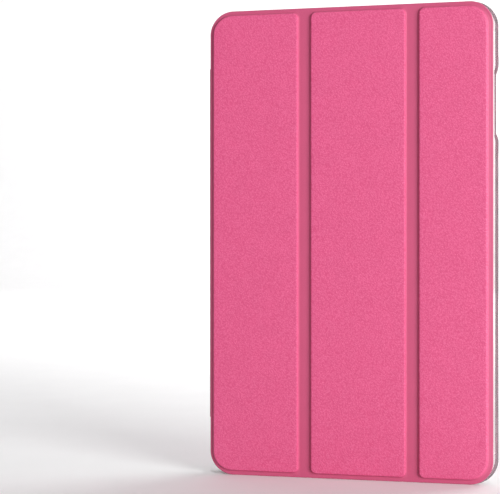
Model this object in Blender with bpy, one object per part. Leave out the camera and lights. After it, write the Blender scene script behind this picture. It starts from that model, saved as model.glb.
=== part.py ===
"""Folding case for a small tablet: a clear back shell and a three-panel leather cover with stiff boards.

The case stands upright and closed.  +Z is up, the cover faces -Y, the spine is at -X and the free edge
of the cover at +X.  The origin is at the middle of the bottom of the whole case.  Lengths are in metres.
"""

import math

import bmesh
import bpy
from mathutils import Matrix, Vector

# The tablet that the case holds, and the room it has
TABLET_WIDTH = 0.1146
TABLET_HEIGHT = 0.1924
TABLET_DEPTH = 0.0096
TABLET_EDGE_INWARD = 0.0027
TABLET_EDGE_DEPTH = 0.0051
SEAT_CLEARANCE = 0.0002

# Back shell
WALL = 0.0013
BACK_WALL = 0.0012
LIP_THICKNESS = 0.0008
LIP_REACH = 0.0013
CLIP_LENGTH = 0.0125
SHELL_CORNER = 0.0105
SPINE_EDGE_ROUND = 0.0016
PORT_SILL = 0.0031
JACK_FROM_EDGE = 0.0186
JACK_RADIUS = 0.0042
JACK_SILL = 0.0016
SPEAKER_FROM_TOP = 0.0194
SPEAKER_LENGTH = 0.0426
SPEAKER_SILL = 0.0022
SPEAKER_SLANT = 0.0090

# Cover: layers, from the tablet outwards
COVER_GAP = 0.0004
LINING = 0.0004
GLUE_LINE = 0.0001
PANEL_BOARD = 0.0011
LEATHER = 0.0009
SPINE_BOARD = 0.0005
SPINE_GAP = 0.0003

# Cover: widths of the three panels and of the folds between them
PANEL_B_PITCH = 0.0446
PANEL_C_PITCH = 0.0324
FOLD_WIDTH = 0.0037
FREE_EDGE_SETBACK = 0.0020
HINGE_CLEARANCE = 0.00015
COVER_CORNER = 0.0095
SPINE_CORNER = 0.0100
FOLD_CORNER = 0.0004

# Cover: raised pads and the flat border round them
PAD_BORDER = 0.0020
PAD_FREE_BORDER = 0.0026
PAD_SPINE_BORDER = 0.0013
PAD_FOLD_BORDER = 0.0002
PAD_FOLD_CORNER = 0.0018
PAD_SHOULDER = 0.0005
STRIP_RIM = 0.0007
BOARD_CLEARANCE = 0.0003
LINING_INSET = 0.0006

# Spine strip and the flange that holds it to the shell
STRIP_END_INSET = 0.0240
STRIP_CORNER = 0.0020
FLANGE_WIDTH = 0.0056
TAPE = 0.0002
TAPE_INSET = 0.0004
FRONT_AXIS_DEPTH = 0.0007
FRONT_AXIS_INSET = 0.0005
COVER_LEFT_INSET = 0.00045
FRONT_END_CLEARANCE = 0.0011
REAR_AXIS_INSET = 0.0009
REAR_AXIS_DEPTH = 0.0003
REAR_END_CLEARANCE = 0.0012
FLANGE_START = 0.0002

# Magnets in the boards
HOLD_MAGNET = (0.0080, 0.0160)
SLEEP_MAGNET = (0.0050, 0.0100)
MAGNET_THICKNESS = 0.0008
HOLD_MAGNET_SETBACK = 0.0105
SLEEP_MAGNET_FROM_TOP = 0.0320
HOLD_MAGNET_HEIGHTS = (0.16, 0.39, 0.61, 0.84)
PANEL_A_MAGNET_HEIGHTS = (0.27, 0.73)

CORNER_STEPS = 6
EDGE_STEPS = 4
SHARP_ANGLE = math.radians(35)
CUT_PAST = 0.00002
CUT_CLEAR = 0.0040

# Sizes of the shell and of the whole case
CAVITY_WIDTH = TABLET_WIDTH + 2 * SEAT_CLEARANCE
CAVITY_HEIGHT = TABLET_HEIGHT + 2 * SEAT_CLEARANCE
SHELL_WIDTH = CAVITY_WIDTH + 2 * WALL
SHELL_HEIGHT = CAVITY_HEIGHT + 2 * WALL
SHELL_DEPTH = BACK_WALL + TABLET_DEPTH + SEAT_CLEARANCE + LIP_THICKNESS
EDGE_INWARD = TABLET_EDGE_INWARD + SEAT_CLEARANCE + WALL
EDGE_DEPTH = TABLET_EDGE_DEPTH + SEAT_CLEARANCE + BACK_WALL
STRIP_THICKNESS = LEATHER + GLUE_LINE + SPINE_BOARD + GLUE_LINE + LINING
FLANGE_STANDOFF = GLUE_LINE + TAPE + GLUE_LINE
COVER_THICKNESS = LINING + GLUE_LINE + PANEL_BOARD + GLUE_LINE + LEATHER
TOTAL_WIDTH = SPINE_GAP + STRIP_THICKNESS + SHELL_WIDTH
TOTAL_DEPTH = FLANGE_STANDOFF + LEATHER + SHELL_DEPTH + COVER_GAP + COVER_THICKNESS

# Planes of the shell
SHELL_LEFT = -TOTAL_WIDTH / 2 + SPINE_GAP + STRIP_THICKNESS
SHELL_RIGHT = TOTAL_WIDTH / 2
SHELL_BACK = TOTAL_DEPTH / 2 - FLANGE_STANDOFF - LEATHER
SHELL_FRONT = SHELL_BACK - SHELL_DEPTH
CAVITY_LEFT = SHELL_LEFT + WALL
CAVITY_RIGHT = SHELL_RIGHT - WALL
CAVITY_BOTTOM = WALL
CAVITY_TOP = SHELL_HEIGHT - WALL
LIP_BACK = SHELL_FRONT + LIP_THICKNESS

# Planes of the cover, from the lining to the pads
LINING_BACK = SHELL_FRONT - COVER_GAP
LINING_FRONT = LINING_BACK - LINING
LEATHER_BACK = LINING_FRONT - GLUE_LINE
BOARD_FRONT = LEATHER_BACK - PANEL_BOARD
LEATHER_OVER_BOARD = BOARD_FRONT - GLUE_LINE
PAD_FRONT = LEATHER_OVER_BOARD - LEATHER
BORDER_FRONT = LEATHER_BACK - LEATHER

# Planes of the spine strip
STRIP_INNER = SHELL_LEFT - SPINE_GAP
STRIP_OUTER = STRIP_INNER - STRIP_THICKNESS
STRIP_BOTTOM = STRIP_END_INSET
STRIP_TOP = SHELL_HEIGHT - STRIP_END_INSET

# Edges of the panels across the case
COVER_RIGHT = SHELL_RIGHT - FREE_EDGE_SETBACK
FOLD_BC_MIDDLE = COVER_RIGHT - PANEL_C_PITCH
FOLD_AB_MIDDLE = FOLD_BC_MIDDLE - PANEL_B_PITCH
COVER_LEFT = STRIP_OUTER + COVER_LEFT_INSET

# Joint axes, all parallel to Z
AXES = {
    "spine": (STRIP_OUTER + REAR_AXIS_INSET, SHELL_BACK + FLANGE_STANDOFF + LEATHER - REAR_AXIS_DEPTH),
    "panel_a": (COVER_LEFT + FRONT_AXIS_INSET, LINING_BACK - FRONT_AXIS_DEPTH),
    "fold_ab": (FOLD_AB_MIDDLE - FOLD_WIDTH / 2, BORDER_FRONT),
    "panel_b": (FOLD_AB_MIDDLE + FOLD_WIDTH / 2, BORDER_FRONT),
    "fold_bc": (FOLD_BC_MIDDLE - FOLD_WIDTH / 2, BORDER_FRONT),
    "panel_c": (FOLD_BC_MIDDLE + FOLD_WIDTH / 2, BORDER_FRONT),
}

# Colour, roughness and metallic value of each material
FINISHES = {
    "clear_polycarbonate": ((0.86, 0.84, 0.86), 0.12, 0.0),
    "pink_leather": ((0.80, 0.13, 0.30), 0.55, 0.0),
    "coral_lining": ((0.74, 0.22, 0.27), 0.85, 0.0),
    "grey_board": ((0.35, 0.33, 0.31), 0.90, 0.0),
    "nickel_magnet": ((0.62, 0.62, 0.60), 0.30, 1.0),
    "white_tape": ((0.80, 0.80, 0.78), 0.70, 0.0),
}


def clear_scene():
    for item in list(bpy.data.objects):
        bpy.data.objects.remove(item, do_unlink=True)


def make_finish(name):
    colour, roughness, metallic = FINISHES[name]
    material = bpy.data.materials.new(name)
    material.use_nodes = True
    shader = material.node_tree.nodes["Principled BSDF"]
    shader.inputs["Base Color"].default_value = (*colour, 1.0)
    shader.inputs["Roughness"].default_value = roughness
    shader.inputs["Metallic"].default_value = metallic
    return material


def make_axes():
    """One empty on each joint axis, each hanging from the one before it, as the cover does."""
    holders = {"shell": bpy.data.objects.new("shell_frame", None)}
    bpy.context.collection.objects.link(holders["shell"])
    before, place = "shell", (0.0, 0.0)
    for body, axis in AXES.items():
        holder = bpy.data.objects.new(body + "_axis", None)
        bpy.context.collection.objects.link(holder)
        holder.parent = holders[before]
        holder.location = (axis[0] - place[0], axis[1] - place[1], 0.0)
        holders[body] = holder
        before, place = body, axis
    return holders


def rounded(left, right, bottom, top, radii):
    """A rectangle with its own radius at each corner: bottom left, bottom right, top right, top left."""
    centres = (
        (left + radii[0], bottom + radii[0]),
        (right - radii[1], bottom + radii[1]),
        (right - radii[2], top - radii[2]),
        (left + radii[3], top - radii[3]),
    )
    points = []
    for corner, (centre, radius) in enumerate(zip(centres, radii)):
        for step in range(CORNER_STEPS + 1):
            angle = math.pi + (corner + step / CORNER_STEPS) * math.pi / 2
            points.append((centre[0] + radius * math.cos(angle), centre[1] + radius * math.sin(angle)))
    return points


def in_front(depth, point):
    """A point of an outline drawn across the case, at a depth along Y."""
    return (point[0], depth, point[1])


def on_side(depth, point):
    """A point of an outline drawn along the side of the case, at a depth along X."""
    return (depth, point[0], point[1])


def add_object(name, mesh_builder, material, holder):
    """A named object whose mesh is drawn in world places and then hung on its body's axis."""
    mesh = bpy.data.meshes.new(name)
    mesh_builder.to_mesh(mesh)
    mesh_builder.free()
    mesh.materials.append(material)
    part = bpy.data.objects.new(name, mesh)
    bpy.context.collection.objects.link(part)
    if holder is not None:
        bpy.context.view_layer.update()
        mesh.transform(Matrix.Translation(-holder.matrix_world.translation))
        part.parent = holder
    mesh.shade_smooth()
    mesh.set_sharp_from_angle(angle=SHARP_ANGLE)
    return part


def loft(name, rings, place, material, holder):
    """A closed solid through outlines that have the same number of points, capped at both ends."""
    builder = bmesh.new()
    loops = []
    for depth, outline in rings:
        loops.append([builder.verts.new(place(depth, point)) for point in outline])
    builder.faces.new(loops[0])
    builder.faces.new(loops[-1])
    count = len(loops[0])
    for near, far in zip(loops, loops[1:]):
        for index in range(count):
            following = (index + 1) % count
            builder.faces.new((near[index], near[following], far[following], far[index]))
    bmesh.ops.recalc_face_normals(builder, faces=builder.faces)
    return add_object(name, builder, material, holder)


def block(name, low, high, material, holder):
    """A box between two corners."""
    outline = rectangle(low[0], high[0], low[2], high[2])
    rings = ((low[1], outline), (high[1], outline))
    return loft(name, rings, in_front, material, holder)


def rectangle(left, right, bottom, top):
    return [(left, bottom), (right, bottom), (right, top), (left, top)]


def cut(part, cutter):
    """Takes the cutter out of the part, and leaves the cutter as a hidden guide."""
    modifier = part.modifiers.new(cutter.name, "BOOLEAN")
    modifier.operation = "DIFFERENCE"
    modifier.solver = "EXACT"
    modifier.object = cutter
    cutter.hide_render = True
    cutter.display_type = "WIRE"


def inset(radii, amount):
    return tuple(max(radius - amount, FOLD_CORNER / 2) for radius in radii)


def make_shell(finish, holder):
    """The clear tray: a flat back, four walls, and a lip over the tablet's glass at each corner.

    Its back edge is well rounded on three sides, as the tablet's is, and nearly square at the spine.
    """
    quarter = [math.pi / 2 * step / EDGE_STEPS for step in range(EDGE_STEPS + 1)]
    rings = []
    for angle in quarter:
        depth = EDGE_DEPTH * (1 - math.cos(angle))
        shrink = EDGE_INWARD * (1 - math.sin(angle))
        rings.append((SHELL_BACK - depth, tray_outline(shrink, spine_edge(depth))))
    rings.append((SHELL_FRONT, tray_outline(0.0, 0.0)))
    rings.append((SHELL_FRONT, tray_outline(WALL + LIP_REACH, WALL + LIP_REACH)))
    rings.append((LIP_BACK, tray_outline(WALL + LIP_REACH, WALL + LIP_REACH)))
    rings.append((LIP_BACK, tray_outline(WALL, WALL)))
    for angle in reversed(quarter):
        depth = EDGE_DEPTH - (EDGE_DEPTH - BACK_WALL) * math.cos(angle)
        shrink = EDGE_INWARD - (EDGE_INWARD - WALL) * math.sin(angle)
        rings.append((SHELL_BACK - depth, tray_outline(shrink, WALL)))
    shell = loft("back_shell", rings, in_front, finish, holder)
    for name, low, high in shell_openings():
        cut(shell, block(name, low, high, finish, None))
    cut(shell, jack_cutter(finish))
    cut(shell, speaker_cutter(finish))


def tray_outline(shrink, spine_shrink):
    """The tray's outline, brought in by one amount on three sides and by its own amount at the spine."""
    free = SHELL_CORNER - shrink
    at_spine = SHELL_CORNER - (shrink + spine_shrink) / 2
    radii = (at_spine, free, free, at_spine)
    return rounded(SHELL_LEFT + spine_shrink, SHELL_RIGHT - shrink, shrink, SHELL_HEIGHT - shrink, radii)


def spine_edge(depth):
    """How far the small round at the spine has come in, at a depth from the back."""
    rise = max(SPINE_EDGE_ROUND - depth, 0.0)
    return SPINE_EDGE_ROUND - math.sqrt(SPINE_EDGE_ROUND**2 - rise**2)


def shell_openings():
    """The lip is cut away between the corner clips, and the wall beside the tablet's ports is cut low."""
    front = SHELL_FRONT - CUT_CLEAR
    clip_left, clip_right = SHELL_LEFT + CLIP_LENGTH, SHELL_RIGHT - CLIP_LENGTH
    clip_bottom, clip_top = CLIP_LENGTH, SHELL_HEIGHT - CLIP_LENGTH
    left, right = CAVITY_LEFT - CUT_PAST, CAVITY_RIGHT + CUT_PAST
    bottom, top = CAVITY_BOTTOM - CUT_PAST, CAVITY_TOP + CUT_PAST
    back = LIP_BACK + CUT_PAST
    return (
        ("lip_cut_ends", (clip_left, front, bottom), (clip_right, back, top)),
        ("lip_cut_sides", (left, front, clip_bottom), (right, back, clip_top)),
        (
            "port_cut",
            (clip_left, front, SHELL_HEIGHT - EDGE_INWARD),
            (clip_right, SHELL_BACK - PORT_SILL, SHELL_HEIGHT + CUT_CLEAR),
        ),
    )


def jack_cutter(finish):
    """A deeper round notch in the low wall, in line with the tablet's headphone socket."""
    middle = SHELL_RIGHT - JACK_FROM_EDGE
    centre = SHELL_BACK - JACK_SILL - JACK_RADIUS
    steps = 4 * CORNER_STEPS
    outline = []
    for step in range(steps):
        angle = 2 * math.pi * step / steps
        outline.append((middle + JACK_RADIUS * math.cos(angle), centre + JACK_RADIUS * math.sin(angle)))
    rings = ((SHELL_HEIGHT - EDGE_INWARD, outline), (SHELL_HEIGHT + CUT_CLEAR, outline))
    return loft("jack_cut", rings, lambda depth, point: (point[0], point[1], depth), finish, None)


def speaker_cutter(finish):
    """A slot with slanted ends in the free long wall, open at the wall's front edge."""
    back, front = SHELL_BACK - SPEAKER_SILL, SHELL_FRONT
    top = SHELL_HEIGHT - SPEAKER_FROM_TOP
    bottom = top - SPEAKER_LENGTH
    outline = [
        (front - CUT_CLEAR, bottom),
        (front - CUT_CLEAR, top),
        (front, top),
        (back, top - SPEAKER_SLANT),
        (back, bottom + SPEAKER_SLANT),
        (front, bottom),
    ]
    rings = ((SHELL_RIGHT - EDGE_INWARD, outline), (SHELL_RIGHT + CUT_CLEAR, outline))
    return loft("speaker_cut", rings, on_side, finish, None)


def make_flange(finishes, holder):
    """The leather flange on the back of the shell, with the tape under it."""
    left, right = SHELL_LEFT + FLANGE_START, SHELL_LEFT + FLANGE_START + FLANGE_WIDTH
    radii = (FOLD_CORNER, STRIP_CORNER, STRIP_CORNER, FOLD_CORNER)
    flange = rounded(left, right, STRIP_BOTTOM, STRIP_TOP, radii)
    tape = rounded(
        left + SPINE_EDGE_ROUND,
        right - TAPE_INSET,
        STRIP_BOTTOM + TAPE_INSET,
        STRIP_TOP - TAPE_INSET,
        inset(radii, TAPE_INSET),
    )
    under = SHELL_BACK + FLANGE_STANDOFF
    leather = finishes["pink_leather"]
    loft("spine_flange", ((under, flange), (under + LEATHER, flange)), in_front, leather, holder)
    low = SHELL_BACK + GLUE_LINE
    loft("flange_tape", ((low, tape), (low + TAPE, tape)), in_front, finishes["white_tape"], holder)


def make_spine(finishes, holder):
    """The strip beside the shell: leather outside, a thin board in it, and its lining."""
    back = AXES["spine"][1] - REAR_END_CLEARANCE
    front = AXES["panel_a"][1] + FRONT_END_CLEARANCE
    radii = (FOLD_CORNER,) * 4
    outer = rounded(front, back, STRIP_BOTTOM, STRIP_TOP, radii)

    def shrunk(amount):
        return rounded(
            front + amount, back - amount, STRIP_BOTTOM + amount, STRIP_TOP - amount, inset(radii, amount)
        )

    leather_inner = STRIP_INNER - LINING - GLUE_LINE
    board_outer = leather_inner - SPINE_BOARD
    rings = (
        (board_outer - GLUE_LINE, shrunk(STRIP_RIM)),
        (leather_inner, shrunk(STRIP_RIM)),
        (leather_inner, outer),
        (STRIP_OUTER, outer),
    )
    loft("spine_leather", rings, on_side, finishes["pink_leather"], holder)
    board = shrunk(STRIP_RIM + BOARD_CLEARANCE)
    rings = ((board_outer, board), (leather_inner, board))
    loft("spine_board", rings, on_side, finishes["grey_board"], holder)
    lining = shrunk(LINING_INSET)
    rings = ((STRIP_INNER - LINING, lining), (STRIP_INNER, lining))
    loft("spine_lining", rings, on_side, finishes["coral_lining"], holder)


def panel_outline(edges, amounts, radii, shrink):
    """A panel's outline, brought in from its left, right and short edges."""
    left, right = edges
    radii = inset(radii, shrink)
    return rounded(left + amounts[0], right - amounts[1], amounts[2], SHELL_HEIGHT - amounts[2], radii)


def pad_outline(edges, borders, pad_radii, shrink):
    """A pad's outline, brought in all round by the same amount."""
    amounts = (borders[0] + shrink, borders[1] + shrink, PAD_BORDER + shrink)
    return panel_outline(edges, amounts, pad_radii, shrink)


def make_panel(letter, edges, borders, radii, pad_radii, finishes, holder):
    """One stiff panel: leather with a raised hollow pad, the board inside the pad, and the lining behind."""
    name = "panel_" + letter
    outer = panel_outline(edges, (0, 0, 0), radii, 0)
    pad_foot = pad_outline(edges, borders, pad_radii, 0)
    pad_top = pad_outline(edges, borders, pad_radii, PAD_SHOULDER)
    recess = pad_outline(edges, borders, pad_radii, LEATHER)
    rings = (
        (LEATHER_OVER_BOARD, recess),
        (LEATHER_BACK, recess),
        (LEATHER_BACK, outer),
        (BORDER_FRONT, outer),
        (BORDER_FRONT, pad_foot),
        (PAD_FRONT, pad_top),
    )
    loft(name + "_leather", rings, in_front, finishes["pink_leather"], holder)
    board_outline = pad_outline(edges, borders, pad_radii, LEATHER + BOARD_CLEARANCE)
    rings = ((LEATHER_BACK, board_outline), (BOARD_FRONT, board_outline))
    board = loft(name + "_board", rings, in_front, finishes["grey_board"], holder)
    lining = panel_outline(edges, (LINING_INSET, LINING_INSET, LINING_INSET), radii, LINING_INSET)
    rings = ((LINING_BACK, lining), (LINING_FRONT, lining))
    loft(name + "_lining", rings, in_front, finishes["coral_lining"], holder)
    return board


def add_magnet(name, board, middle, height, size, finishes, holder):
    """A flat magnet in a pocket that goes through the board."""
    width, length = size
    middle_depth = (LEATHER_BACK + BOARD_FRONT) / 2
    front, back = middle_depth - MAGNET_THICKNESS / 2, middle_depth + MAGNET_THICKNESS / 2

    def corners(room, near, far):
        low = (middle - width / 2 - room, near, height - length / 2 - room)
        high = (middle + width / 2 + room, far, height + length / 2 + room)
        return low, high

    low, high = corners(0.0, front, back)
    block(name, low, high, finishes["nickel_magnet"], holder)
    low, high = corners(BOARD_CLEARANCE, BOARD_FRONT - CUT_CLEAR, LEATHER_BACK + CUT_CLEAR)
    cut(board, block(name + "_pocket", low, high, finishes["grey_board"], None))


def make_fold(letters, middle, finishes, holder):
    """The soft fold between two panels: leather and lining only."""
    reach = FOLD_WIDTH / 2 - HINGE_CLEARANCE
    strip = rounded(middle - reach, middle + reach, 0.0, SHELL_HEIGHT, (FOLD_CORNER,) * 4)
    rings = ((LEATHER_BACK, strip), (BORDER_FRONT, strip))
    loft("fold_" + letters + "_leather", rings, in_front, finishes["pink_leather"], holder)
    inner = rounded(
        middle - reach, middle + reach, LINING_INSET, SHELL_HEIGHT - LINING_INSET, (FOLD_CORNER,) * 4
    )
    rings = ((LINING_BACK, inner), (LINING_FRONT, inner))
    loft("fold_" + letters + "_lining", rings, in_front, finishes["coral_lining"], holder)


def make_cover(finishes, holders):
    """Panels A, B and C from the spine to the free edge, with a fold between each pair."""
    reach = FOLD_WIDTH / 2 + HINGE_CLEARANCE
    pad_edge = PAD_FOLD_BORDER
    at_spine, at_edge, at_fold = (PAD_SPINE_BORDER, pad_edge), (pad_edge, PAD_FREE_BORDER), (pad_edge,) * 2
    pad_left, pad_right = COVER_CORNER - PAD_BORDER, COVER_CORNER - PAD_FREE_BORDER
    small = PAD_FOLD_CORNER
    board_a = make_panel(
        "a", (COVER_LEFT, FOLD_AB_MIDDLE - reach), at_spine,
        (SPINE_CORNER, FOLD_CORNER, FOLD_CORNER, SPINE_CORNER), (pad_left, small, small, pad_left),
        finishes, holders["panel_a"],
    )
    make_fold("ab", FOLD_AB_MIDDLE, finishes, holders["fold_ab"])
    make_panel(
        "b", (FOLD_AB_MIDDLE + reach, FOLD_BC_MIDDLE - reach), at_fold,
        (FOLD_CORNER,) * 4, (small,) * 4, finishes, holders["panel_b"],
    )
    make_fold("bc", FOLD_BC_MIDDLE, finishes, holders["fold_bc"])
    board_c = make_panel(
        "c", (FOLD_BC_MIDDLE + reach, COVER_RIGHT), at_edge,
        (FOLD_CORNER, COVER_CORNER, COVER_CORNER, FOLD_CORNER), (small, pad_right, pad_right, small),
        finishes, holders["panel_c"],
    )
    near_spine = COVER_LEFT + HOLD_MAGNET_SETBACK
    for number, share in enumerate(PANEL_A_MAGNET_HEIGHTS, 1):
        name = "panel_a_magnet_%d" % number
        height = share * SHELL_HEIGHT
        add_magnet(name, board_a, near_spine, height, HOLD_MAGNET, finishes, holders["panel_a"])
    near_edge = COVER_RIGHT - HOLD_MAGNET_SETBACK
    for number, share in enumerate(HOLD_MAGNET_HEIGHTS, 1):
        name = "panel_c_hold_magnet_%d" % number
        height = share * SHELL_HEIGHT
        add_magnet(name, board_c, near_edge, height, HOLD_MAGNET, finishes, holders["panel_c"])
    height = SHELL_HEIGHT - SLEEP_MAGNET_FROM_TOP
    sleep_middle = near_edge - HOLD_MAGNET_SETBACK
    add_magnet("sleep_magnet", board_c, sleep_middle, height, SLEEP_MAGNET, finishes, holders["panel_c"])


def main():
    clear_scene()
    finishes = {name: make_finish(name) for name in FINISHES}
    holders = make_axes()
    make_shell(finishes["clear_polycarbonate"], holders["shell"])
    make_flange(finishes, holders["shell"])
    make_spine(finishes, holders["spine"])
    make_cover(finishes, holders)


main()
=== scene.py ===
"""Looks of a folding tablet case: a clear tray and a leather cover of three stiff panels.

The case stands upright and closed.  +Z is up, the cover faces -Y and the spine is at -X.
Lengths are in metres.
"""

import math

import bmesh
import bpy
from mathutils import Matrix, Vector


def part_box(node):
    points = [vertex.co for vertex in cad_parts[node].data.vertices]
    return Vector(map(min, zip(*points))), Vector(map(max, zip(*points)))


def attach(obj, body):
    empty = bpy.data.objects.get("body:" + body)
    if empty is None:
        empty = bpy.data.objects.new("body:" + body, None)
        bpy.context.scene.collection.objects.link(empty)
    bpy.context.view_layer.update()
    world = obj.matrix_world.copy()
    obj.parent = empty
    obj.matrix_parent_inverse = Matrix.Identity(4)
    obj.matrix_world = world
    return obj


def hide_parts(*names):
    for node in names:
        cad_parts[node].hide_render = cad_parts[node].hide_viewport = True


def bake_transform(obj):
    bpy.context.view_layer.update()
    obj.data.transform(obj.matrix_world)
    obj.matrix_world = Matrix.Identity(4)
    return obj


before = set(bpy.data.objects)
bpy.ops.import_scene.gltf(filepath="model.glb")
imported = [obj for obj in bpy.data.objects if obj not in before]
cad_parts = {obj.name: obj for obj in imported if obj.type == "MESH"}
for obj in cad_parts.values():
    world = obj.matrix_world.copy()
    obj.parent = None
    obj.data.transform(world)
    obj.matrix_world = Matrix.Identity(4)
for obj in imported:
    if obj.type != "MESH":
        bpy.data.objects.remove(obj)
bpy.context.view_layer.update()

# Clear tray
TRAY_WALL = 0.0013
TRAY_BACK = 0.0012
TRAY_CORNER = 0.0105
EDGE_INWARD = 0.0042
EDGE_DEPTH = 0.0065
SPINE_EDGE_ROUND = 0.0016
LIP_THICKNESS = 0.0008
LIP_REACH = 0.0013
CLIP_LENGTH = 0.0125
CLIP_TAPER = (0.0020, 0.0030)
FROST_MARGIN = 0.0046
SPINE_FROST_MARGIN = 0.0030
PORT_SILL = 0.0031
PORT_SLANT = 0.0022
PORT_ROUND = 0.0018
JACK_FROM_EDGE = 0.0186
JACK_RADIUS = 0.0042
JACK_SILL = 0.0016
SPEAKER_FROM_TOP = 0.0194
SPEAKER_LENGTH = 0.0426
SPEAKER_SILL = 0.0022
SPEAKER_SLANT = 0.0090
SPEAKER_ROUND = 0.0012
TRAY_EDGE_SOFTENING = 0.00022
CUT_PAST = 0.00002
CUT_CLEAR = 0.0040

# Leather
TURNED_EDGE = 0.00045
CORNER_SKIN = 0.0005
CORNER_LAP = 0.00002
SPINE_RIM = 0.00035
PAD_SHOULDER = 0.0009
PAD_CROWN = 0.00008
PAD_CROWN_STEPS = (0.0006, 0.0014, 0.0030, 0.0060, 0.0110)
PAD_BORDER = 0.00155
PAD_FREE_BORDER = 0.0005
PAD_FREE_SHOULDER = 0.0023
PAD_SPINE_BORDER = 0.0010
PAD_CORNER_INSET = 0.0010
PAD_FOLD_BORDER = 0.0002
PAD_FOLD_CORNER = 0.0028
COVER_CORNER = 0.0095
SPINE_CORNER = 0.0100
FLANGE_CORNER = 0.0020
FOLD_CORNER = 0.0002
LINING_ROUND = 0.00014
LEATHER = 0.0009
BOARD_GAP = 0.0001

# How finely the curves are drawn
CORNER_STEPS = 18
SHOULDER_STEPS = 10
BEND_STEPS = 18
EDGE_STEPS = 8
TRAY_EDGE_STEPS = 14
EDGE_SIDES = 16

# Where the case is seen from
VIEW_TURN = math.radians(12.55)
VIEW_DISTANCE = 0.5107
VIEW_AIM = -0.0438
EYE_HEIGHT = 0.0960
LENS = 86.3
SENSOR = 36.0
NEAREST_SEEN = 0.01
FURTHEST_SEEN = 20.0

# Floor: half its width, the height of the wall it sweeps up to, and the bend between them
FLOOR_HALF = 3.0
FLOOR_RISE = 2.4
FLOOR_BEND = 0.9
FLOOR_BEND_STEPS = 16
FLOOR_SHARP_ANGLE = 60

# Light: each lamp has its name, its place, where it is aimed, its width and height, and its power
ROOM_COLOUR = (1.0, 0.99, 1.0, 1.0)
ROOM_STRENGTH = 0.32
CASE_MIDDLE = (0.0, 0.0, 0.1)
WALL_BEHIND = (0.0, 2.6, 1.4)
LAMPS = (
    ("key_from_right", (2.0, -1.55, 0.55), CASE_MIDDLE, (1.4, 1.1), 83.0),
    ("light_from_behind", (1.1, 1.3, 0.7), CASE_MIDDLE, (1.2, 0.8), 22.0),
    ("backdrop_wash", (0.0, 0.6, 2.2), WALL_BEHIND, (2.4, 1.0), 60.0),
)


# ---------------------------------------------------------------- outlines

def rounded(left, right, bottom, top, radii):
    """A rectangle with its own radius at each corner: bottom left, bottom right, top right, top left."""
    centres = (
        (left + radii[0], bottom + radii[0]),
        (right - radii[1], bottom + radii[1]),
        (right - radii[2], top - radii[2]),
        (left + radii[3], top - radii[3]),
    )
    points = []
    for corner, (centre, radius) in enumerate(zip(centres, radii)):
        for step in range(CORNER_STEPS + 1):
            angle = math.pi + (corner + step / CORNER_STEPS) * math.pi / 2
            points.append((centre[0] + radius * math.cos(angle), centre[1] + radius * math.sin(angle)))
    return points


def filleted(corners, radii):
    """A closed outline through corners, each eased to its own radius."""
    points = []
    count = len(corners)
    for index, radius in enumerate(radii):
        corner = Vector(corners[index])
        before = (Vector(corners[index - 1]) - corner).normalized()
        after = (Vector(corners[(index + 1) % count]) - corner).normalized()
        half = before.angle(after) / 2
        reach = radius / math.tan(half)
        centre = corner + (before + after).normalized() * radius / math.sin(half)
        near, far = corner + before * reach - centre, corner + after * reach - centre
        for step in range(EDGE_STEPS + 1):
            ray = near.lerp(far, step / EDGE_STEPS).normalized() * radius
            points.append(tuple(centre + ray))
    return points


def inset(radii, amount):
    return tuple(max(radius - amount, FOLD_CORNER) for radius in radii)


def across(depth, outline):
    """An outline drawn across the case, at a depth along Y."""
    return [(point[0], depth, point[1]) for point in outline]


def along_side(depth, outline):
    """An outline drawn along the side of the case, at a depth along X."""
    return [(depth, point[0], point[1]) for point in outline]


def level(height, outline):
    """An outline drawn flat, at a height along Z."""
    return [(point[0], point[1], height) for point in outline]


def ease(share):
    return share * share * (3 - 2 * share)


# ---------------------------------------------------------------- meshes

def finish_piece(name, builder, finishes, sharp=50):
    """A named object whose mesh is drawn in its final place."""
    mesh = bpy.data.meshes.new(name)
    builder.to_mesh(mesh)
    builder.free()
    for finish in finishes:
        mesh.materials.append(finish)
    mesh.shade_smooth()
    mesh.set_sharp_from_angle(angle=math.radians(sharp))
    piece = bpy.data.objects.new(name, mesh)
    bpy.context.scene.collection.objects.link(piece)
    return piece


def loft(name, rings, finishes, caps=(0, 0), sharp=50):
    """A closed solid through rings that have the same number of points, capped at both ends."""
    builder = bmesh.new()
    loops = [[builder.verts.new(point) for point in ring] for ring in rings]
    builder.faces.new(loops[0]).material_index = caps[0]
    builder.faces.new(loops[-1]).material_index = caps[1]
    count = len(loops[0])
    for near, far in zip(loops, loops[1:]):
        for index in range(count):
            following = (index + 1) % count
            builder.faces.new((near[index], near[following], far[following], far[index]))
    bmesh.ops.recalc_face_normals(builder, faces=builder.faces)
    return finish_piece(name, builder, finishes, sharp)


def ribbon(name, stations, bottom, top, finish):
    """A strip that follows a bend, with round ends.

    Each station is its outer and its inner point in plan.
    """
    rings = []
    for outer, inner in stations:
        outer, inner = Vector(outer), Vector(inner)
        round_off = (outer - inner).length / 2
        ring = []
        for base, direction in ((bottom + round_off, -1), (top - round_off, 1)):
            for step in range(EDGE_STEPS + 1):
                angle = math.pi * step / EDGE_STEPS
                share = (1 - math.cos(angle)) / 2
                if direction > 0:
                    share = 1 - share
                point = outer.lerp(inner, share)
                ring.append((point.x, point.y, base + direction * round_off * math.sin(angle)))
        rings.append(ring)
    return loft(name, rings, (finish,))


def plain_mesh(piece):
    """Turns what the modifiers make into the piece's own mesh, and takes the modifiers off."""
    bpy.context.view_layer.update()
    shaped = piece.evaluated_get(bpy.context.evaluated_depsgraph_get())
    mesh = bpy.data.meshes.new_from_object(shaped)
    piece.modifiers.clear()
    old = piece.data
    piece.data = mesh
    mesh.name = piece.name
    bpy.data.meshes.remove(old)
    return piece


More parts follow.
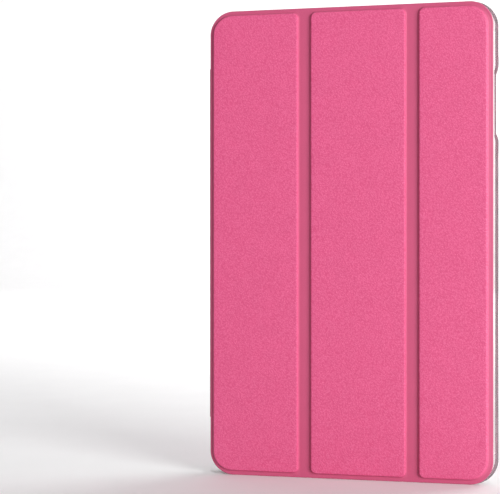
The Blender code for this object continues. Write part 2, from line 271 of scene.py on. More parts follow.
def tidy_normals(piece):
    """Merges doubled points and turns every face outwards."""
    builder = bmesh.new()
    builder.from_mesh(piece.data)
    bmesh.ops.remove_doubles(builder, verts=builder.verts, dist=1e-7)
    bmesh.ops.recalc_face_normals(builder, faces=builder.faces)
    builder.to_mesh(piece.data)
    builder.free()
    return piece


# ---------------------------------------------------------------- finishes

def start_finish(name):
    material = bpy.data.materials.new(name)
    material.use_nodes = True
    shader = material.node_tree.nodes["Principled BSDF"]
    return material, shader


def add_node(material, kind, settings=None, values=None):
    """A node with its settings and the values of its unlinked sockets."""
    node = material.node_tree.nodes.new(kind)
    for key, value in (settings or {}).items():
        setattr(node, key, value)
    for key, value in (values or {}).items():
        node.inputs[key].default_value = value
    return node


def link(material, source, target):
    material.node_tree.links.new(source, target)


def add_place(material, turn=(0.0, 0.0, 0.0), scale=(1.0, 1.0, 1.0)):
    """The piece's own coordinates, turned and then scaled along the turned axes."""
    place = add_node(material, "ShaderNodeTexCoord")
    turned = add_node(material, "ShaderNodeMapping", values={"Rotation": turn})
    scaled = add_node(material, "ShaderNodeMapping", values={"Scale": scale})
    link(material, place.outputs["Object"], turned.inputs["Vector"])
    link(material, turned.outputs["Vector"], scaled.inputs["Vector"])
    return scaled.outputs["Vector"]


def add_noise(material, vector, scale, detail=2.0, roughness=0.5):
    noise = add_node(
        material, "ShaderNodeTexNoise", values={"Scale": scale, "Detail": detail, "Roughness": roughness}
    )
    link(material, vector, noise.inputs["Vector"])
    return noise.outputs["Fac"]


def add_math(material, operation, first, second):
    node = add_node(material, "ShaderNodeMath", {"operation": operation})
    for socket, value in zip(node.inputs, (first, second)):
        if isinstance(value, (int, float)):
            socket.default_value = value
        else:
            link(material, value, socket)
    return node.outputs["Value"]


def add_range(material, value, low, high, to_low, to_high):
    node = add_node(
        material,
        "ShaderNodeMapRange",
        values={"From Min": low, "From Max": high, "To Min": to_low, "To Max": to_high},
    )
    link(material, value, node.inputs["Value"])
    return node.outputs["Result"]


def add_ramp(material, value, stops):
    """Colours along a value from 0 to 1, given as (place, colour)."""
    node = add_node(material, "ShaderNodeValToRGB")
    ramp = node.color_ramp
    while len(ramp.elements) < len(stops):
        ramp.elements.new(0.5)
    for element, (place, colour) in zip(ramp.elements, stops):
        element.position = place
        element.color = (*colour, 1.0)
    link(material, value, node.inputs["Fac"])
    return node.outputs["Color"]


def add_mix(material, share, first, second, blend="MIX"):
    node = add_node(material, "ShaderNodeMix", {"data_type": "RGBA", "blend_type": blend})
    if isinstance(share, (int, float)):
        node.inputs["Factor"].default_value = share
    else:
        link(material, share, node.inputs["Factor"])
    for socket, value in ((node.inputs[6], first), (node.inputs[7], second)):
        if isinstance(value, tuple):
            socket.default_value = (*value, 1.0)
        else:
            link(material, value, socket)
    return node.outputs[2]


def add_bump(material, shader, height, strength, relief):
    bump = add_node(material, "ShaderNodeBump", values={"Strength": strength, "Distance": relief})
    link(material, height, bump.inputs["Height"])
    link(material, bump.outputs["Normal"], shader.inputs["Normal"])


def make_leather(groove_depth, pad_depth):
    """Pebbled pink leather: coarse on the pads, pressed smooth in the grooves, and darker there as painted
    shade.
    """
    material, shader = start_finish("pebbled_pink_leather")
    place = add_place(material)
    slanted = add_place(material, turn=(0.0, math.radians(38), 0.0), scale=(1.0, 1.0, 0.62))
    pebble = add_node(
        material,
        "ShaderNodeTexVoronoi",
        {"feature": "SMOOTH_F1"},
        {"Scale": 2250.0, "Smoothness": 0.7, "Randomness": 1.0},
    )
    warp = add_node(material, "ShaderNodeTexNoise", values={"Scale": 750.0, "Detail": 1.0})
    link(material, slanted, warp.inputs["Vector"])
    warped = add_node(material, "ShaderNodeVectorMath", {"operation": "MULTIPLY_ADD"})
    link(material, warp.outputs["Color"], warped.inputs[0])
    warped.inputs[1].default_value = (0.0006, 0.0006, 0.0006)
    link(material, slanted, warped.inputs[2])
    link(material, warped.outputs["Vector"], pebble.inputs["Vector"])
    fine = add_noise(material, slanted, 3200.0, 3.0, 0.6)
    broad = add_noise(material, place, 140.0, 2.0)
    parts = add_node(material, "ShaderNodeSeparateXYZ")
    link(material, place, parts.inputs["Vector"])
    # on_pad is 0 in the grooves and 1 on the pads: it presses the grain flatter and mixes in the painted
    # groove shade
    on_pad = add_range(material, parts.outputs["Y"], groove_depth - 0.0002, pad_depth + 0.0002, 0.0, 1.0)

    dome = add_range(material, pebble.outputs["Distance"], 0.0, 0.75, 1.0, 0.0)
    grain = add_math(material, "ADD", add_math(material, "MULTIPLY", dome, 0.65),
                     add_math(material, "MULTIPLY", fine, 0.5))
    pressed = add_math(material, "MULTIPLY", grain, add_range(material, on_pad, 0.0, 1.0, 0.28, 1.0))
    add_bump(material, shader, pressed, 0.45, 0.00012)

    pad_colour = add_ramp(
        material, grain,
        ((0.30, (0.600, 0.068, 0.185)), (0.62, (0.660, 0.100, 0.232)), (0.90, (0.735, 0.148, 0.296))),
    )
    # The grooves get a darker, duller colour: painted shade in the recess between the pads
    groove_colour_with_painted_shade = add_ramp(
        material, fine, ((0.30, (0.480, 0.070, 0.158)), (0.70, (0.520, 0.080, 0.176)))
    )
    # Pad colour on the pads, painted shade colour down in the grooves
    colour = add_mix(material, on_pad, groove_colour_with_painted_shade, pad_colour)
    tone = add_ramp(material, broad, ((0.30, (0.965, 0.965, 0.965)), (0.70, (1.0, 1.0, 1.0))))
    link(material, add_mix(material, 1.0, colour, tone, "MULTIPLY"), shader.inputs["Base Color"])
    link(material, add_range(material, grain, 0.2, 0.9, 0.62, 0.46), shader.inputs["Roughness"])
    shader.inputs["Specular IOR Level"].default_value = 0.42
    return material


def make_lining():
    """Coral microfibre: a fine nap that is brushed lighter and darker in patches."""
    material, shader = start_finish("coral_microfibre")
    place = add_place(material)
    brushed = add_place(material, turn=(0.0, math.radians(-20), 0.0), scale=(1.0, 1.0, 0.35))
    nap = add_noise(material, brushed, 5200.0, 4.0, 0.65)
    patches = add_noise(material, place, 55.0, 3.0, 0.55)
    stops = (
        (0.30, (0.600, 0.135, 0.190)),
        (0.55, (0.740, 0.205, 0.262)),
        (0.80, (0.830, 0.285, 0.335)),
    )
    fibre = add_ramp(material, nap, stops)
    tone = add_ramp(material, patches, ((0.35, (0.88, 0.88, 0.88)), (0.65, (1.0, 1.0, 1.0))))
    link(material, add_mix(material, 1.0, fibre, tone, "MULTIPLY"), shader.inputs["Base Color"])
    link(material, add_range(material, patches, 0.3, 0.7, 0.96, 0.84), shader.inputs["Roughness"])
    shader.inputs["Sheen Weight"].default_value = 0.35
    shader.inputs["Sheen Roughness"].default_value = 0.45
    shader.inputs["Sheen Tint"].default_value = (1.0, 0.72, 0.74, 1.0)
    shader.inputs["Specular IOR Level"].default_value = 0.2
    add_bump(material, shader, nap, 0.5, 0.00006)
    return material


def make_clear():
    """Clear moulded polycarbonate with faint flow waves and handling haze."""
    material, shader = start_finish("clear_moulded_polycarbonate")
    place = add_place(material, scale=(1.0, 1.0, 0.5))
    flow = add_noise(material, place, 36.0, 2.0)
    haze = add_noise(material, place, 260.0, 4.0, 0.6)
    link(material, add_ramp(
        material, haze, ((0.30, (0.955, 0.945, 0.955)), (0.70, (0.990, 0.985, 0.990)))
    ), shader.inputs["Base Color"])
    link(material, add_range(material, haze, 0.35, 0.75, 0.03, 0.09), shader.inputs["Roughness"])
    shader.inputs["Transmission Weight"].default_value = 0.88
    shader.inputs["IOR"].default_value = 1.3
    add_bump(material, shader, flow, 0.10, 0.00005)
    return material


def make_frosted():
    """The same plastic, spark-etched to a milky rose on the flat of the back."""
    material, shader = start_finish("frosted_rose_polycarbonate")
    place = add_place(material)
    etch = add_noise(material, place, 4200.0, 3.0, 0.6)
    cloud = add_noise(material, place, 45.0, 3.0, 0.5)
    link(material, add_ramp(
        material, cloud, ((0.30, (0.650, 0.325, 0.455)), (0.70, (0.700, 0.365, 0.500)))
    ), shader.inputs["Base Color"])
    link(material, add_range(material, etch, 0.3, 0.7, 0.42, 0.54), shader.inputs["Roughness"])
    shader.inputs["Transmission Weight"].default_value = 0.35
    shader.inputs["IOR"].default_value = 1.5
    add_bump(material, shader, etch, 0.35, 0.00004)
    return material


def make_board():
    """Grey pressed board with long fibres and dark specks."""
    material, shader = start_finish("grey_fibre_board")
    laid = add_place(material, scale=(1.0, 1.0, 0.12))
    place = add_place(material)
    fibres = add_noise(material, laid, 1500.0, 5.0, 0.6)
    specks = add_noise(material, place, 800.0, 1.0)
    base = add_ramp(material, fibres, ((0.30, (0.28, 0.265, 0.245)), (0.70, (0.42, 0.40, 0.375))))
    dark = add_ramp(material, specks, ((0.24, (0.45, 0.42, 0.40)), (0.32, (1.0, 1.0, 1.0))))
    link(material, add_mix(material, 1.0, base, dark, "MULTIPLY"), shader.inputs["Base Color"])
    link(material, add_range(material, fibres, 0.3, 0.7, 0.95, 0.84), shader.inputs["Roughness"])
    add_bump(material, shader, fibres, 0.5, 0.00005)
    return material


def make_nickel():
    """Tumbled nickel plate on the magnets."""
    material, shader = start_finish("tumbled_nickel_plate")
    drawn = add_place(material, scale=(1.0, 1.0, 0.08))
    place = add_place(material)
    streaks = add_noise(material, drawn, 3800.0, 4.0, 0.6)
    tarnish = add_noise(material, place, 350.0, 3.0)
    link(material, add_ramp(
        material, tarnish, ((0.35, (0.56, 0.55, 0.52)), (0.65, (0.68, 0.675, 0.65)))
    ), shader.inputs["Base Color"])
    link(material, add_range(material, streaks, 0.3, 0.7, 0.22, 0.42), shader.inputs["Roughness"])
    shader.inputs["Metallic"].default_value = 1.0
    add_bump(material, shader, streaks, 0.3, 0.00002)
    return material


def make_tape():
    """White double-sided tape with a tissue carrier."""
    material, shader = start_finish("white_tissue_tape")
    place = add_place(material)
    tissue = add_noise(material, place, 2600.0, 4.0, 0.7)
    clouds = add_noise(material, place, 220.0, 2.0)
    base = add_ramp(material, tissue, ((0.30, (0.72, 0.72, 0.69)), (0.70, (0.86, 0.86, 0.83))))
    tone = add_ramp(material, clouds, ((0.30, (0.94, 0.94, 0.93)), (0.70, (1.0, 1.0, 1.0))))
    link(material, add_mix(material, 1.0, base, tone, "MULTIPLY"), shader.inputs["Base Color"])
    link(material, add_range(material, tissue, 0.3, 0.7, 0.58, 0.76), shader.inputs["Roughness"])
    add_bump(material, shader, tissue, 0.4, 0.00003)
    return material


def make_floor_finish():
    """Pale matt paper for the floor."""
    material, shader = start_finish("pale_floor_paper")
    place = add_place(material)
    tooth = add_noise(material, place, 30.0, 2.0)
    link(material, add_ramp(
        material, tooth, ((0.30, (0.900, 0.896, 0.898)), (0.70, (0.915, 0.911, 0.913)))
    ), shader.inputs["Base Color"])
    shader.inputs["Roughness"].default_value = 0.9
    shader.inputs["Specular IOR Level"].default_value = 0.1
    return material


# ---------------------------------------------------------------- turned edges

def make_edge_tree():
    """Node tree that rolls a round leather edge along the outline it is given."""
    tree = bpy.data.node_groups.new("turned_leather_edge", "GeometryNodeTree")
    face = tree.interface
    face.new_socket("Outline", in_out="INPUT", socket_type="NodeSocketGeometry")
    sockets = {
        "radius": face.new_socket("Edge radius", in_out="INPUT", socket_type="NodeSocketFloat"),
        "sides": face.new_socket("Facets round the edge", in_out="INPUT", socket_type="NodeSocketInt"),
        "finish": face.new_socket("Leather", in_out="INPUT", socket_type="NodeSocketMaterial"),
    }
    face.new_socket("Edge", in_out="OUTPUT", socket_type="NodeSocketGeometry")
    nodes, links = tree.nodes, tree.links
    given = nodes.new("NodeGroupInput")
    path = nodes.new("GeometryNodeMeshToCurve")
    roll = nodes.new("GeometryNodeCurvePrimitiveCircle")
    sweep = nodes.new("GeometryNodeCurveToMesh")
    smooth = nodes.new("GeometryNodeSetShadeSmooth")
    real = nodes.new("GeometryNodeRealizeInstances")
    paint = nodes.new("GeometryNodeSetMaterial")
    made = nodes.new("NodeGroupOutput")
    sweep.inputs["Fill Caps"].default_value = True
    links.new(given.outputs["Outline"], path.inputs["Mesh"])
    links.new(given.outputs["Edge radius"], roll.inputs["Radius"])
    links.new(given.outputs["Facets round the edge"], roll.inputs["Resolution"])
    links.new(path.outputs["Curve"], sweep.inputs["Curve"])
    links.new(roll.outputs["Curve"], sweep.inputs["Profile Curve"])
    links.new(sweep.outputs["Mesh"], smooth.inputs["Geometry"])
    links.new(smooth.outputs["Geometry"], real.inputs["Geometry"])
    links.new(real.outputs["Geometry"], paint.inputs["Geometry"])
    links.new(given.outputs["Leather"], paint.inputs["Material"])
    links.new(paint.outputs["Geometry"], made.inputs["Edge"])
    return tree, sockets


def turned_edge(name, tree_and_sockets, paths, radius, finish):
    """A round edge rolled along each path; a path is a list of points and is open unless its ends meet."""
    tree, sockets = tree_and_sockets
    points, edges = [], []
    for path in paths:
        first = len(points)
        closed = (Vector(path[0]) - Vector(path[-1])).length < CUT_PAST
        points.extend(path[:-1] if closed else path)
        last = len(points) - 1
        edges.extend((index, index + 1) for index in range(first, last))
        if closed:
            edges.append((last, first))
    mesh = bpy.data.meshes.new(name)
    mesh.from_pydata(points, edges, [])
    piece = bpy.data.objects.new(name, mesh)
    bpy.context.scene.collection.objects.link(piece)
    modifier = piece.modifiers.new("turned_leather_edge", "NODES")
    modifier.node_group = tree
    modifier[sockets["radius"].identifier] = radius
    modifier[sockets["sides"].identifier] = EDGE_SIDES
    modifier[sockets["finish"].identifier] = finish
    return tidy_normals(plain_mesh(piece))


# ---------------------------------------------------------------- clear tray

def tray_outline(low, high, shrink, spine_shrink):
    """The tray's outline, brought in by one amount on three sides and by its own amount at the spine."""
    free = TRAY_CORNER - shrink
    at_spine = TRAY_CORNER - (shrink + spine_shrink) / 2
    radii = (at_spine, free, free, at_spine)
    return rounded(low.x + spine_shrink, high.x - shrink, low.z + shrink, high.z - shrink, radii)


def spine_edge(depth):
    """How far the small round at the spine has come in, at a depth from the back."""
    rise = max(SPINE_EDGE_ROUND - depth, 0.0)
    return SPINE_EDGE_ROUND - math.sqrt(SPINE_EDGE_ROUND**2 - rise**2)


def make_tray(clear, frosted):
    """The clear tray, moulded in one: well rounded at the back on its three free sides, a lip at each
    corner, and openings for ports and speakers.
    """
    low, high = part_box("back_shell")
    lip_back = low.y + LIP_THICKNESS

    def ring(depth, shrink, spine_shrink):
        return across(depth, tray_outline(low, high, shrink, spine_shrink))

    quarter_turn = [math.pi / 2 * step / TRAY_EDGE_STEPS for step in range(TRAY_EDGE_STEPS + 1)]
    rings = [ring(high.y, FROST_MARGIN, SPINE_FROST_MARGIN)]
    for angle in quarter_turn:
        depth = EDGE_DEPTH * (1 - math.cos(angle))
        shrink = EDGE_INWARD * (1 - math.sin(angle))
        rings.append(ring(high.y - depth, shrink, spine_edge(depth)))
    rings.append(ring(low.y, 0.0, 0.0))
    rings.append(ring(low.y, TRAY_WALL + LIP_REACH, TRAY_WALL + LIP_REACH))
    rings.append(ring(lip_back, TRAY_WALL + LIP_REACH, TRAY_WALL + LIP_REACH))
    rings.append(ring(lip_back, TRAY_WALL, TRAY_WALL))
    for angle in reversed(quarter_turn):
        depth = EDGE_DEPTH - (EDGE_DEPTH - TRAY_BACK) * math.cos(angle)
        shrink = EDGE_INWARD - (EDGE_INWARD - TRAY_WALL) * math.sin(angle)
        rings.append(ring(high.y - depth, shrink, TRAY_WALL))
    rings.append(ring(high.y - TRAY_BACK, FROST_MARGIN, SPINE_FROST_MARGIN))
    tray = loft("clear_tray", rings, (clear, frosted), caps=(1, 1), sharp=30)

    cutters = [
        lip_cutter(low, high),
        port_cutter(low, high),
        jack_cutter(high),
        speaker_cutter(low, high),
    ]
    for cutter in cutters:
        modifier = tray.modifiers.new(cutter.name, "BOOLEAN")
        modifier.operation = "DIFFERENCE"
        modifier.solver = "EXACT"
        modifier.object = cutter
    plain_mesh(tray)
    for cutter in cutters:
        bpy.data.objects.remove(cutter, do_unlink=True)
    tidy_normals(tray)
    soften = tray.modifiers.new("moulded_edges", "BEVEL")
    soften.width = TRAY_EDGE_SOFTENING
    soften.segments = 3
    soften.limit_method = "ANGLE"
    soften.angle_limit = math.radians(32)
    soften.harden_normals = True
    plain_mesh(tray)
    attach(tray, "shell")
    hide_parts("back_shell")


def lip_cutter(low, high):
    """Frees the rim between the corner clips; the clips taper towards their tips."""
    along, in_from_wall = CLIP_TAPER
    left, right = low.x + TRAY_WALL - CUT_PAST, high.x - TRAY_WALL + CUT_PAST
    bottom, top = low.z + TRAY_WALL - CUT_PAST, high.z - TRAY_WALL + CUT_PAST
    clip_left, clip_right = low.x + CLIP_LENGTH, high.x - CLIP_LENGTH
    clip_bottom, clip_top = low.z + CLIP_LENGTH, high.z - CLIP_LENGTH
    outline = [
        (clip_left, bottom), (clip_right, bottom),
        (clip_right + along, bottom + in_from_wall), (right - in_from_wall, clip_bottom - along),
        (right, clip_bottom), (right, clip_top),
        (right - in_from_wall, clip_top + along), (clip_right + along, top - in_from_wall),
        (clip_right, top), (clip_left, top),
        (clip_left - along, top - in_from_wall), (left + in_from_wall, clip_top + along),
        (left, clip_top), (left, clip_bottom),
        (left + in_from_wall, clip_bottom - along), (clip_left - along, bottom + in_from_wall),
    ]
    rings = (
        across(low.y - CUT_CLEAR, outline),
        across(low.y + LIP_THICKNESS + CUT_PAST, outline),
    )
    return loft("lip_cut", rings, ())


def port_cutter(low, high):
    """Lowers the wall at the ports' end, with slanted and eased ends."""
    front, sill = low.y - CUT_PAST, high.y - PORT_SILL
    left, right = low.x + CLIP_LENGTH, high.x - CLIP_LENGTH
    beyond = CUT_CLEAR
    outline = filleted(
        [
            (left - beyond, front - beyond), (left - beyond, front),
            (left, front), (left + PORT_SLANT, sill),
            (right - PORT_SLANT, sill), (right, front),
            (right + beyond, front), (right + beyond, front - beyond),
        ],
        (CUT_PAST, CUT_PAST, PORT_ROUND, PORT_ROUND, PORT_ROUND, PORT_ROUND, CUT_PAST, CUT_PAST),
    )
    rings = (
        level(high.z - EDGE_INWARD, outline),
        level(high.z + CUT_CLEAR, outline),
    )
    return loft("port_cut", rings, ())


def jack_cutter(high):
    """A deeper round notch in the low wall, in line with the headphone socket."""
    middle = high.x - JACK_FROM_EDGE
    centre = high.y - JACK_SILL - JACK_RADIUS
    outline = []
    for step in range(4 * CORNER_STEPS):
        angle = math.pi / 2 * step / CORNER_STEPS
        outline.append((middle + JACK_RADIUS * math.cos(angle), centre + JACK_RADIUS * math.sin(angle)))
    rings = (
        level(high.z - EDGE_INWARD, outline),
        level(high.z + CUT_CLEAR, outline),
    )
    return loft("jack_cut", rings, ())


def speaker_cutter(low, high):
    """A slot with slanted ends in the free long wall, open at the wall's front edge."""
    back, front = high.y - SPEAKER_SILL, low.y - CUT_PAST
    top = high.z - SPEAKER_FROM_TOP
    bottom = top - SPEAKER_LENGTH
    beyond = front - CUT_CLEAR
    outline = filleted(
        [
            (beyond, bottom), (beyond, top), (front, top),
            (back, top - SPEAKER_SLANT), (back, bottom + SPEAKER_SLANT), (front, bottom),
        ],
        (CUT_PAST, CUT_PAST, SPEAKER_ROUND, SPEAKER_ROUND, SPEAKER_ROUND, SPEAKER_ROUND),
    )
    rings = (
        along_side(high.x - EDGE_INWARD, outline),
        along_side(high.x + CUT_CLEAR, outline),
    )
    return loft("speaker_cut", rings, ())


# ---------------------------------------------------------------- leather cover

def make_panel(letter, free, borders, radii, pad_radii, leather, edge_tree):
    """One panel: leather pressed over the board, with turned edges wherever it is free (left, right)."""
    node = "panel_%s_leather" % letter
    low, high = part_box(node)
    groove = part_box("fold_ab_leather")[0].y
    board_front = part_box("panel_%s_board" % letter)[0].y
    rise = groove - low.y

    def pad(shrink, spread=0.0):
        bottom, top = low.z + PAD_BORDER + shrink, high.z - PAD_BORDER - shrink
        left, right = low.x + borders[0] + shrink, high.x - borders[1] - shrink - spread
        return rounded(left, right, bottom, top, inset(pad_radii, shrink))

    turned = tuple(TURNED_EDGE if side else 0.0 for side in free)
    spread = PAD_FREE_SHOULDER - PAD_SHOULDER if free[1] else 0.0
    plate = rounded(
        low.x + turned[0], high.x - turned[1], low.z + TURNED_EDGE, high.z - TURNED_EDGE,
        inset(radii, TURNED_EDGE),
    )
    rings = [
        across(board_front - BOARD_GAP, pad(LEATHER)),
        across(high.y, pad(LEATHER)),
        across(high.y, plate),
        across(groove, plate),
    ]
    for step in range(SHOULDER_STEPS + 1):
        share = step / SHOULDER_STEPS
        depth = groove - (rise - PAD_CROWN) * ease(share)
        rings.append(across(depth, pad(PAD_SHOULDER * share, spread * (1 - (1 - share) ** 2))))
    reach = PAD_CROWN_STEPS[-1]
    for step in PAD_CROWN_STEPS:
        crown = PAD_CROWN * math.sin(math.pi / 2 * step / reach)
        rings.append(across(groove - rise + PAD_CROWN - crown, pad(PAD_SHOULDER + step, spread)))
    skin = loft("panel_%s_skin" % letter, rings, (leather,))
    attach(skin, "panel_" + letter)
    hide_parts(node)

    middle = (high.y + groove) / 2
    paths = edge_paths(low, high, free, radii, middle)
    edge = turned_edge("panel_%s_turned_edge" % letter, edge_tree, paths, TURNED_EDGE, leather)
    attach(edge, "panel_" + letter)


def edge_paths(low, high, free, radii, middle):
    """The line that the turned edge's middle follows: round the free sides, and straight off at the folds."""
    inner = TURNED_EDGE
    outline = rounded(low.x + inner, high.x - inner, low.z + inner, high.z - inner, inset(radii, inner))
    corner = CORNER_STEPS + 1
    bottom_left, bottom_right = outline[:corner], outline[corner:2 * corner]
    top_right, top_left = outline[2 * corner:3 * corner], outline[3 * corner:]
    bottom, top = low.z + inner, high.z - inner
    if free[0]:
        paths = [[(high.x, top)] + top_left + bottom_left + [(high.x, bottom)]]
    elif free[1]:
        paths = [[(low.x, bottom)] + bottom_right + top_right + [(low.x, top)]]
    else:
        paths = [[(low.x, bottom), (high.x, bottom)], [(low.x, top), (high.x, top)]]
    return [across(middle, path) for path in paths]


def make_fold(letters, before, after, leather, lining):
    """The soft fold between two panels, in two flat halves that meet at the fold's middle."""
    body = "fold_" + letters
    leather_low, leather_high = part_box(body + "_leather")
    lining_low, lining_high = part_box(body + "_lining")
    middle = (leather_low.x + leather_high.x) / 2
    halves = (
        ("near", before, body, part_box(before + "_leather")[1].x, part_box(before + "_lining")[1].x),
        ("far", body, after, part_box(after + "_leather")[0].x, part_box(after + "_lining")[0].x),
    )
    for side, first, second, leather_edge, lining_edge in halves:
        start, end = Vector((leather_edge, 0, 0)), Vector((middle, 0, 0))
        if side == "far":
            start, end = end, start
        outer = across_stations(leather_edge, middle, leather_low.y, leather_high.y)
        skin = ribbon("%s_%s_skin" % (body, side), outer, leather_low.z, leather_high.z, leather)
        inner = across_stations(lining_edge, middle, lining_low.y, lining_high.y)
        cloth = ribbon("%s_%s_cloth" % (body, side), inner, lining_low.z, lining_high.z, lining)
        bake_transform(skin)
        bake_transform(cloth)
        if side == "near":
            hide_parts(body + "_leather")
            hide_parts(body + "_lining")


def across_stations(start, end, front, back):
    """Stations of a flat ribbon that runs along X."""
    stations = []
    for step in range(BEND_STEPS + 1):
        along = start + (end - start) * step / BEND_STEPS
        stations.append(((along, front), (along, back)))
    return stations


def quarter(start, end, corner):
    """Points of a quarter ellipse from start to end that leaves each of them towards the corner."""
    centre = (start[0] + end[0] - corner[0], start[1] + end[1] - corner[1])
    points = []
    for step in range(BEND_STEPS + 1):
        angle = math.pi / 2 * step / BEND_STEPS
        near, far = math.cos(angle), math.sin(angle)
        points.append(tuple(
            centre[axis] + (start[axis] - centre[axis]) * near + (end[axis] - centre[axis]) * far
            for axis in range(2)
        ))
    return points


def make_spine(leather, lining, edge_tree):
    """The strip along the spine: leather with a turned rim over its thin board, and its lining."""
    low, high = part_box("spine_leather")
    inner = low.x + LEATHER
    stations = [((low.x, low.y), (inner, low.y)), ((low.x, high.y), (inner, high.y))]
    skin = ribbon("spine_skin", stations, low.z, high.z, leather)
    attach(skin, "spine")
    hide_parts("spine_leather")

    rim = rounded(
        low.y + SPINE_RIM, high.y - SPINE_RIM, low.z + SPINE_RIM, high.z - SPINE_RIM, (SPINE_RIM,) * 4
    )
    path = along_side(high.x - SPINE_RIM, rim + rim[:1])
    edge = turned_edge("spine_turned_rim", edge_tree, [path], SPINE_RIM, leather)
    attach(edge, "spine")

    cloth_low, cloth_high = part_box("spine_lining")
    cloth = lining_plate(
        "spine_cloth", cloth_low, cloth_high, (LINING_ROUND,) * 4, lining, flat_side="X"
    )
    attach(cloth, "spine")
    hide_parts("spine_lining")


def make_front_corner(leather, lining):
    """Leather and lining that turn the corner from the spine to panel A."""
    spine_low, spine_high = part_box("spine_leather")
    panel_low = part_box("panel_a_leather")[0]
    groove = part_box("fold_ab_leather")[0].y - CORNER_LAP
    lap = panel_low.x + TURNED_EDGE
    outer = quarter((spine_low.x, spine_low.y), (lap, groove), (spine_low.x, groove))
    inner = quarter(
        (spine_low.x + CORNER_SKIN, spine_low.y), (lap, groove + CORNER_SKIN),
        (spine_low.x + CORNER_SKIN, groove + CORNER_SKIN),
    )
    skin = ribbon("front_corner_skin", list(zip(outer, inner)), spine_low.z, spine_high.z, leather)
    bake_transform(skin)

    strip_low, strip_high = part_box("spine_lining")
    cloth_low, cloth_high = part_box("panel_a_lining")
    outer = quarter(
        (strip_low.x, strip_low.y), (cloth_low.x, cloth_low.y), (strip_low.x - CORNER_SKIN, cloth_low.y)
    )
    inner = quarter(
        (strip_high.x, strip_low.y), (cloth_low.x, cloth_high.y), (strip_high.x - CORNER_SKIN, cloth_high.y)
    )
    cloth = ribbon("front_corner_cloth", list(zip(outer, inner)), strip_low.z, strip_high.z, lining)
    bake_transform(cloth)


def make_rear_corner(leather):
    """Leather that turns the corner from the flange on the tray's back to the spine."""
    spine_low, spine_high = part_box("spine_leather")
    flange_low, flange_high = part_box("spine_flange")
    outer = quarter((flange_low.x, flange_high.y), (spine_low.x, spine_high.y), (spine_low.x, flange_high.y))
    inside = spine_low.x + LEATHER
    inner = quarter((flange_low.x, flange_low.y), (inside, spine_high.y), (inside, flange_low.y))
    skin = ribbon("rear_corner_skin", list(zip(outer, inner)), spine_low.z, spine_high.z, leather)
    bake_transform(skin)


def make_flange(leather, edge_tree):
    """The flange that is taped to the tray's back, with a turned edge on its three free sides."""
    low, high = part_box("spine_flange")
    radii = (FOLD_CORNER, FLANGE_CORNER, FLANGE_CORNER, FOLD_CORNER)
    plate = rounded(
        low.x, high.x - TURNED_EDGE, low.z + TURNED_EDGE, high.z - TURNED_EDGE, inset(radii, TURNED_EDGE)
    )
    skin = loft("flange_skin", (across(low.y, plate), across(high.y, plate)), (leather,))
    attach(skin, "shell")
    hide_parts("spine_flange")
    paths = edge_paths(low, high, (False, True), radii, (low.y + high.y) / 2)
    edge = turned_edge("flange_turned_edge", edge_tree, paths, TURNED_EDGE, leather)
    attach(edge, "shell")


def lining_plate(name, low, high, radii, lining, flat_side="Y"):
    """A sheet of lining with soft cut edges."""
    place, near, far = (across, low.y, high.y) if flat_side == "Y" else (along_side, low.x, high.x)
    left, right = (low.x, high.x) if flat_side == "Y" else (low.y, high.y)
    rings = []
    for depth, sign in ((near, 1), (far, -1)):
        part = []
        for step in range(EDGE_STEPS // 2 + 1):
            angle = math.pi / 2 * step / (EDGE_STEPS // 2)
            shrink = LINING_ROUND * (1 - math.sin(angle))
            outline = rounded(
                left + shrink, right - shrink, low.z + shrink, high.z - shrink, inset(radii, shrink)
            )
            part.append(place(depth + sign * LINING_ROUND * (1 - math.cos(angle)), outline))
        rings.extend(part if sign > 0 else reversed(part))
    return loft(name, rings, (lining,))


def make_linings(lining):
    """The microfibre lining behind each panel."""
    corners = {
        "a": (SPINE_CORNER, LINING_ROUND, LINING_ROUND, SPINE_CORNER),
        "b": (LINING_ROUND,) * 4,
        "c": (LINING_ROUND, COVER_CORNER, COVER_CORNER, LINING_ROUND),
    }
    for letter, radii in corners.items():
        node = "panel_%s_lining" % letter
        low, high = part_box(node)
        cloth = lining_plate("panel_%s_cloth" % letter, low, high, radii, lining)
        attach(cloth, "panel_" + letter)
        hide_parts(node)


def make_cover(leather, lining, edge_tree):
    at_fold = PAD_FOLD_BORDER
    small = PAD_FOLD_CORNER
    pad_corner = COVER_CORNER - PAD_CORNER_INSET
    make_panel(
        "a", (True, False), (PAD_SPINE_BORDER, at_fold),
        (SPINE_CORNER, FOLD_CORNER, FOLD_CORNER, SPINE_CORNER), (pad_corner, small, small, pad_corner),
        leather, edge_tree,
    )
    make_fold("ab", "panel_a", "panel_b", leather, lining)
    make_panel(
        "b", (False, False), (at_fold, at_fold), (FOLD_CORNER,) * 4, (small,) * 4, leather, edge_tree
    )
    make_fold("bc", "panel_b", "panel_c", leather, lining)
    make_panel(
        "c", (False, True), (at_fold, PAD_FREE_BORDER),
        (FOLD_CORNER, COVER_CORNER, COVER_CORNER, FOLD_CORNER), (small, pad_corner, pad_corner, small),
        leather, edge_tree,
    )
    make_linings(lining)
    make_spine(leather, lining, edge_tree)
    make_front_corner(leather, lining)
    make_rear_corner(leather)
    make_flange(leather, edge_tree)


def finish_hidden_parts():
    """Boards, magnets and tape keep their shape and take a worked finish."""
    finishes = {"board": make_board(), "magnet": make_nickel(), "tape": make_tape()}
    for name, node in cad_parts.items():
        for word, finish in finishes.items():
            if word in name:
                node.data.materials.clear()
                node.data.materials.append(finish)


# ---------------------------------------------------------------- studio

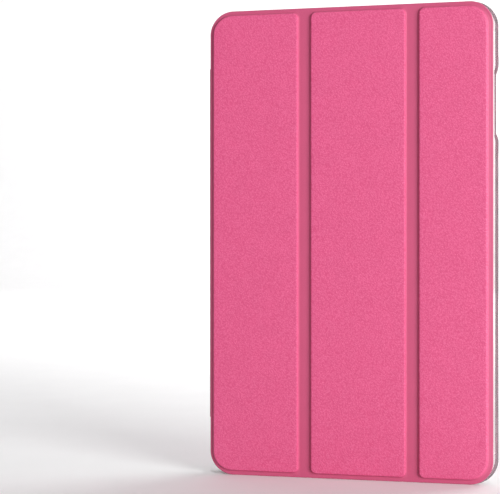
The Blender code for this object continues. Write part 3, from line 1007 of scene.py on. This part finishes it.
def make_floor():
    """A pale floor that sweeps up far behind the case."""
    builder = bmesh.new()
    bend_from = FLOOR_HALF - FLOOR_BEND
    line = [(-FLOOR_HALF, 0.0), (bend_from, 0.0)]
    for step in range(1, FLOOR_BEND_STEPS + 1):
        angle = math.pi / 2 * step / FLOOR_BEND_STEPS
        line.append((bend_from + FLOOR_BEND * math.sin(angle), FLOOR_BEND * (1 - math.cos(angle))))
    line.append((FLOOR_HALF, FLOOR_RISE))
    rows = [[builder.verts.new((side * FLOOR_HALF, y, z)) for side in (-1, 1)] for y, z in line]
    for near, far in zip(rows, rows[1:]):
        builder.faces.new((near[0], near[1], far[1], far[0]))
    floor = finish_piece("floor", builder, (make_floor_finish(),), sharp=FLOOR_SHARP_ANGLE)


def add_light(name, place, aim, size, power):
    """A soft lamp that is never seen itself."""
    light = bpy.data.lights.new(name, "AREA")
    light.shape = "RECTANGLE"
    light.size, light.size_y = size
    light.energy = power
    lamp = bpy.data.objects.new(name, light)
    bpy.context.scene.collection.objects.link(lamp)
    lamp.location = place
    lamp.rotation_euler = (Vector(aim) - Vector(place)).to_track_quat("-Z", "Y").to_euler()
    lamp.visible_camera = False


def make_studio():
    make_floor()
    world = bpy.data.worlds.new("pale_room")
    world.use_nodes = True
    background = world.node_tree.nodes["Background"]
    background.inputs["Color"].default_value = ROOM_COLOUR
    background.inputs["Strength"].default_value = ROOM_STRENGTH
    bpy.context.scene.world = world
    bpy.context.scene.view_settings.view_transform = "Standard"
    for name, place, aim, size, power in LAMPS:
        add_light(name, place, aim, size, power)


def make_camera():
    camera = bpy.data.cameras.new("camera")
    camera.lens = LENS
    camera.sensor_width = SENSOR
    camera.clip_start = NEAREST_SEEN
    camera.clip_end = FURTHEST_SEEN
    eye = bpy.data.objects.new("camera", camera)
    bpy.context.scene.collection.objects.link(eye)
    eye.location = (
        VIEW_AIM + VIEW_DISTANCE * math.sin(VIEW_TURN),
        -VIEW_DISTANCE * math.cos(VIEW_TURN),
        EYE_HEIGHT,
    )
    eye.rotation_euler = (math.pi / 2, 0.0, VIEW_TURN)
    bpy.context.scene.camera = eye


def main():
    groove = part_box("fold_ab_leather")[0].y
    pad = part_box("panel_a_leather")[0].y
    leather = make_leather(groove, pad)
    lining = make_lining()
    make_tray(make_clear(), make_frosted())
    make_cover(leather, lining, make_edge_tree())
    finish_hidden_parts()
    make_camera()
    make_studio()


main()
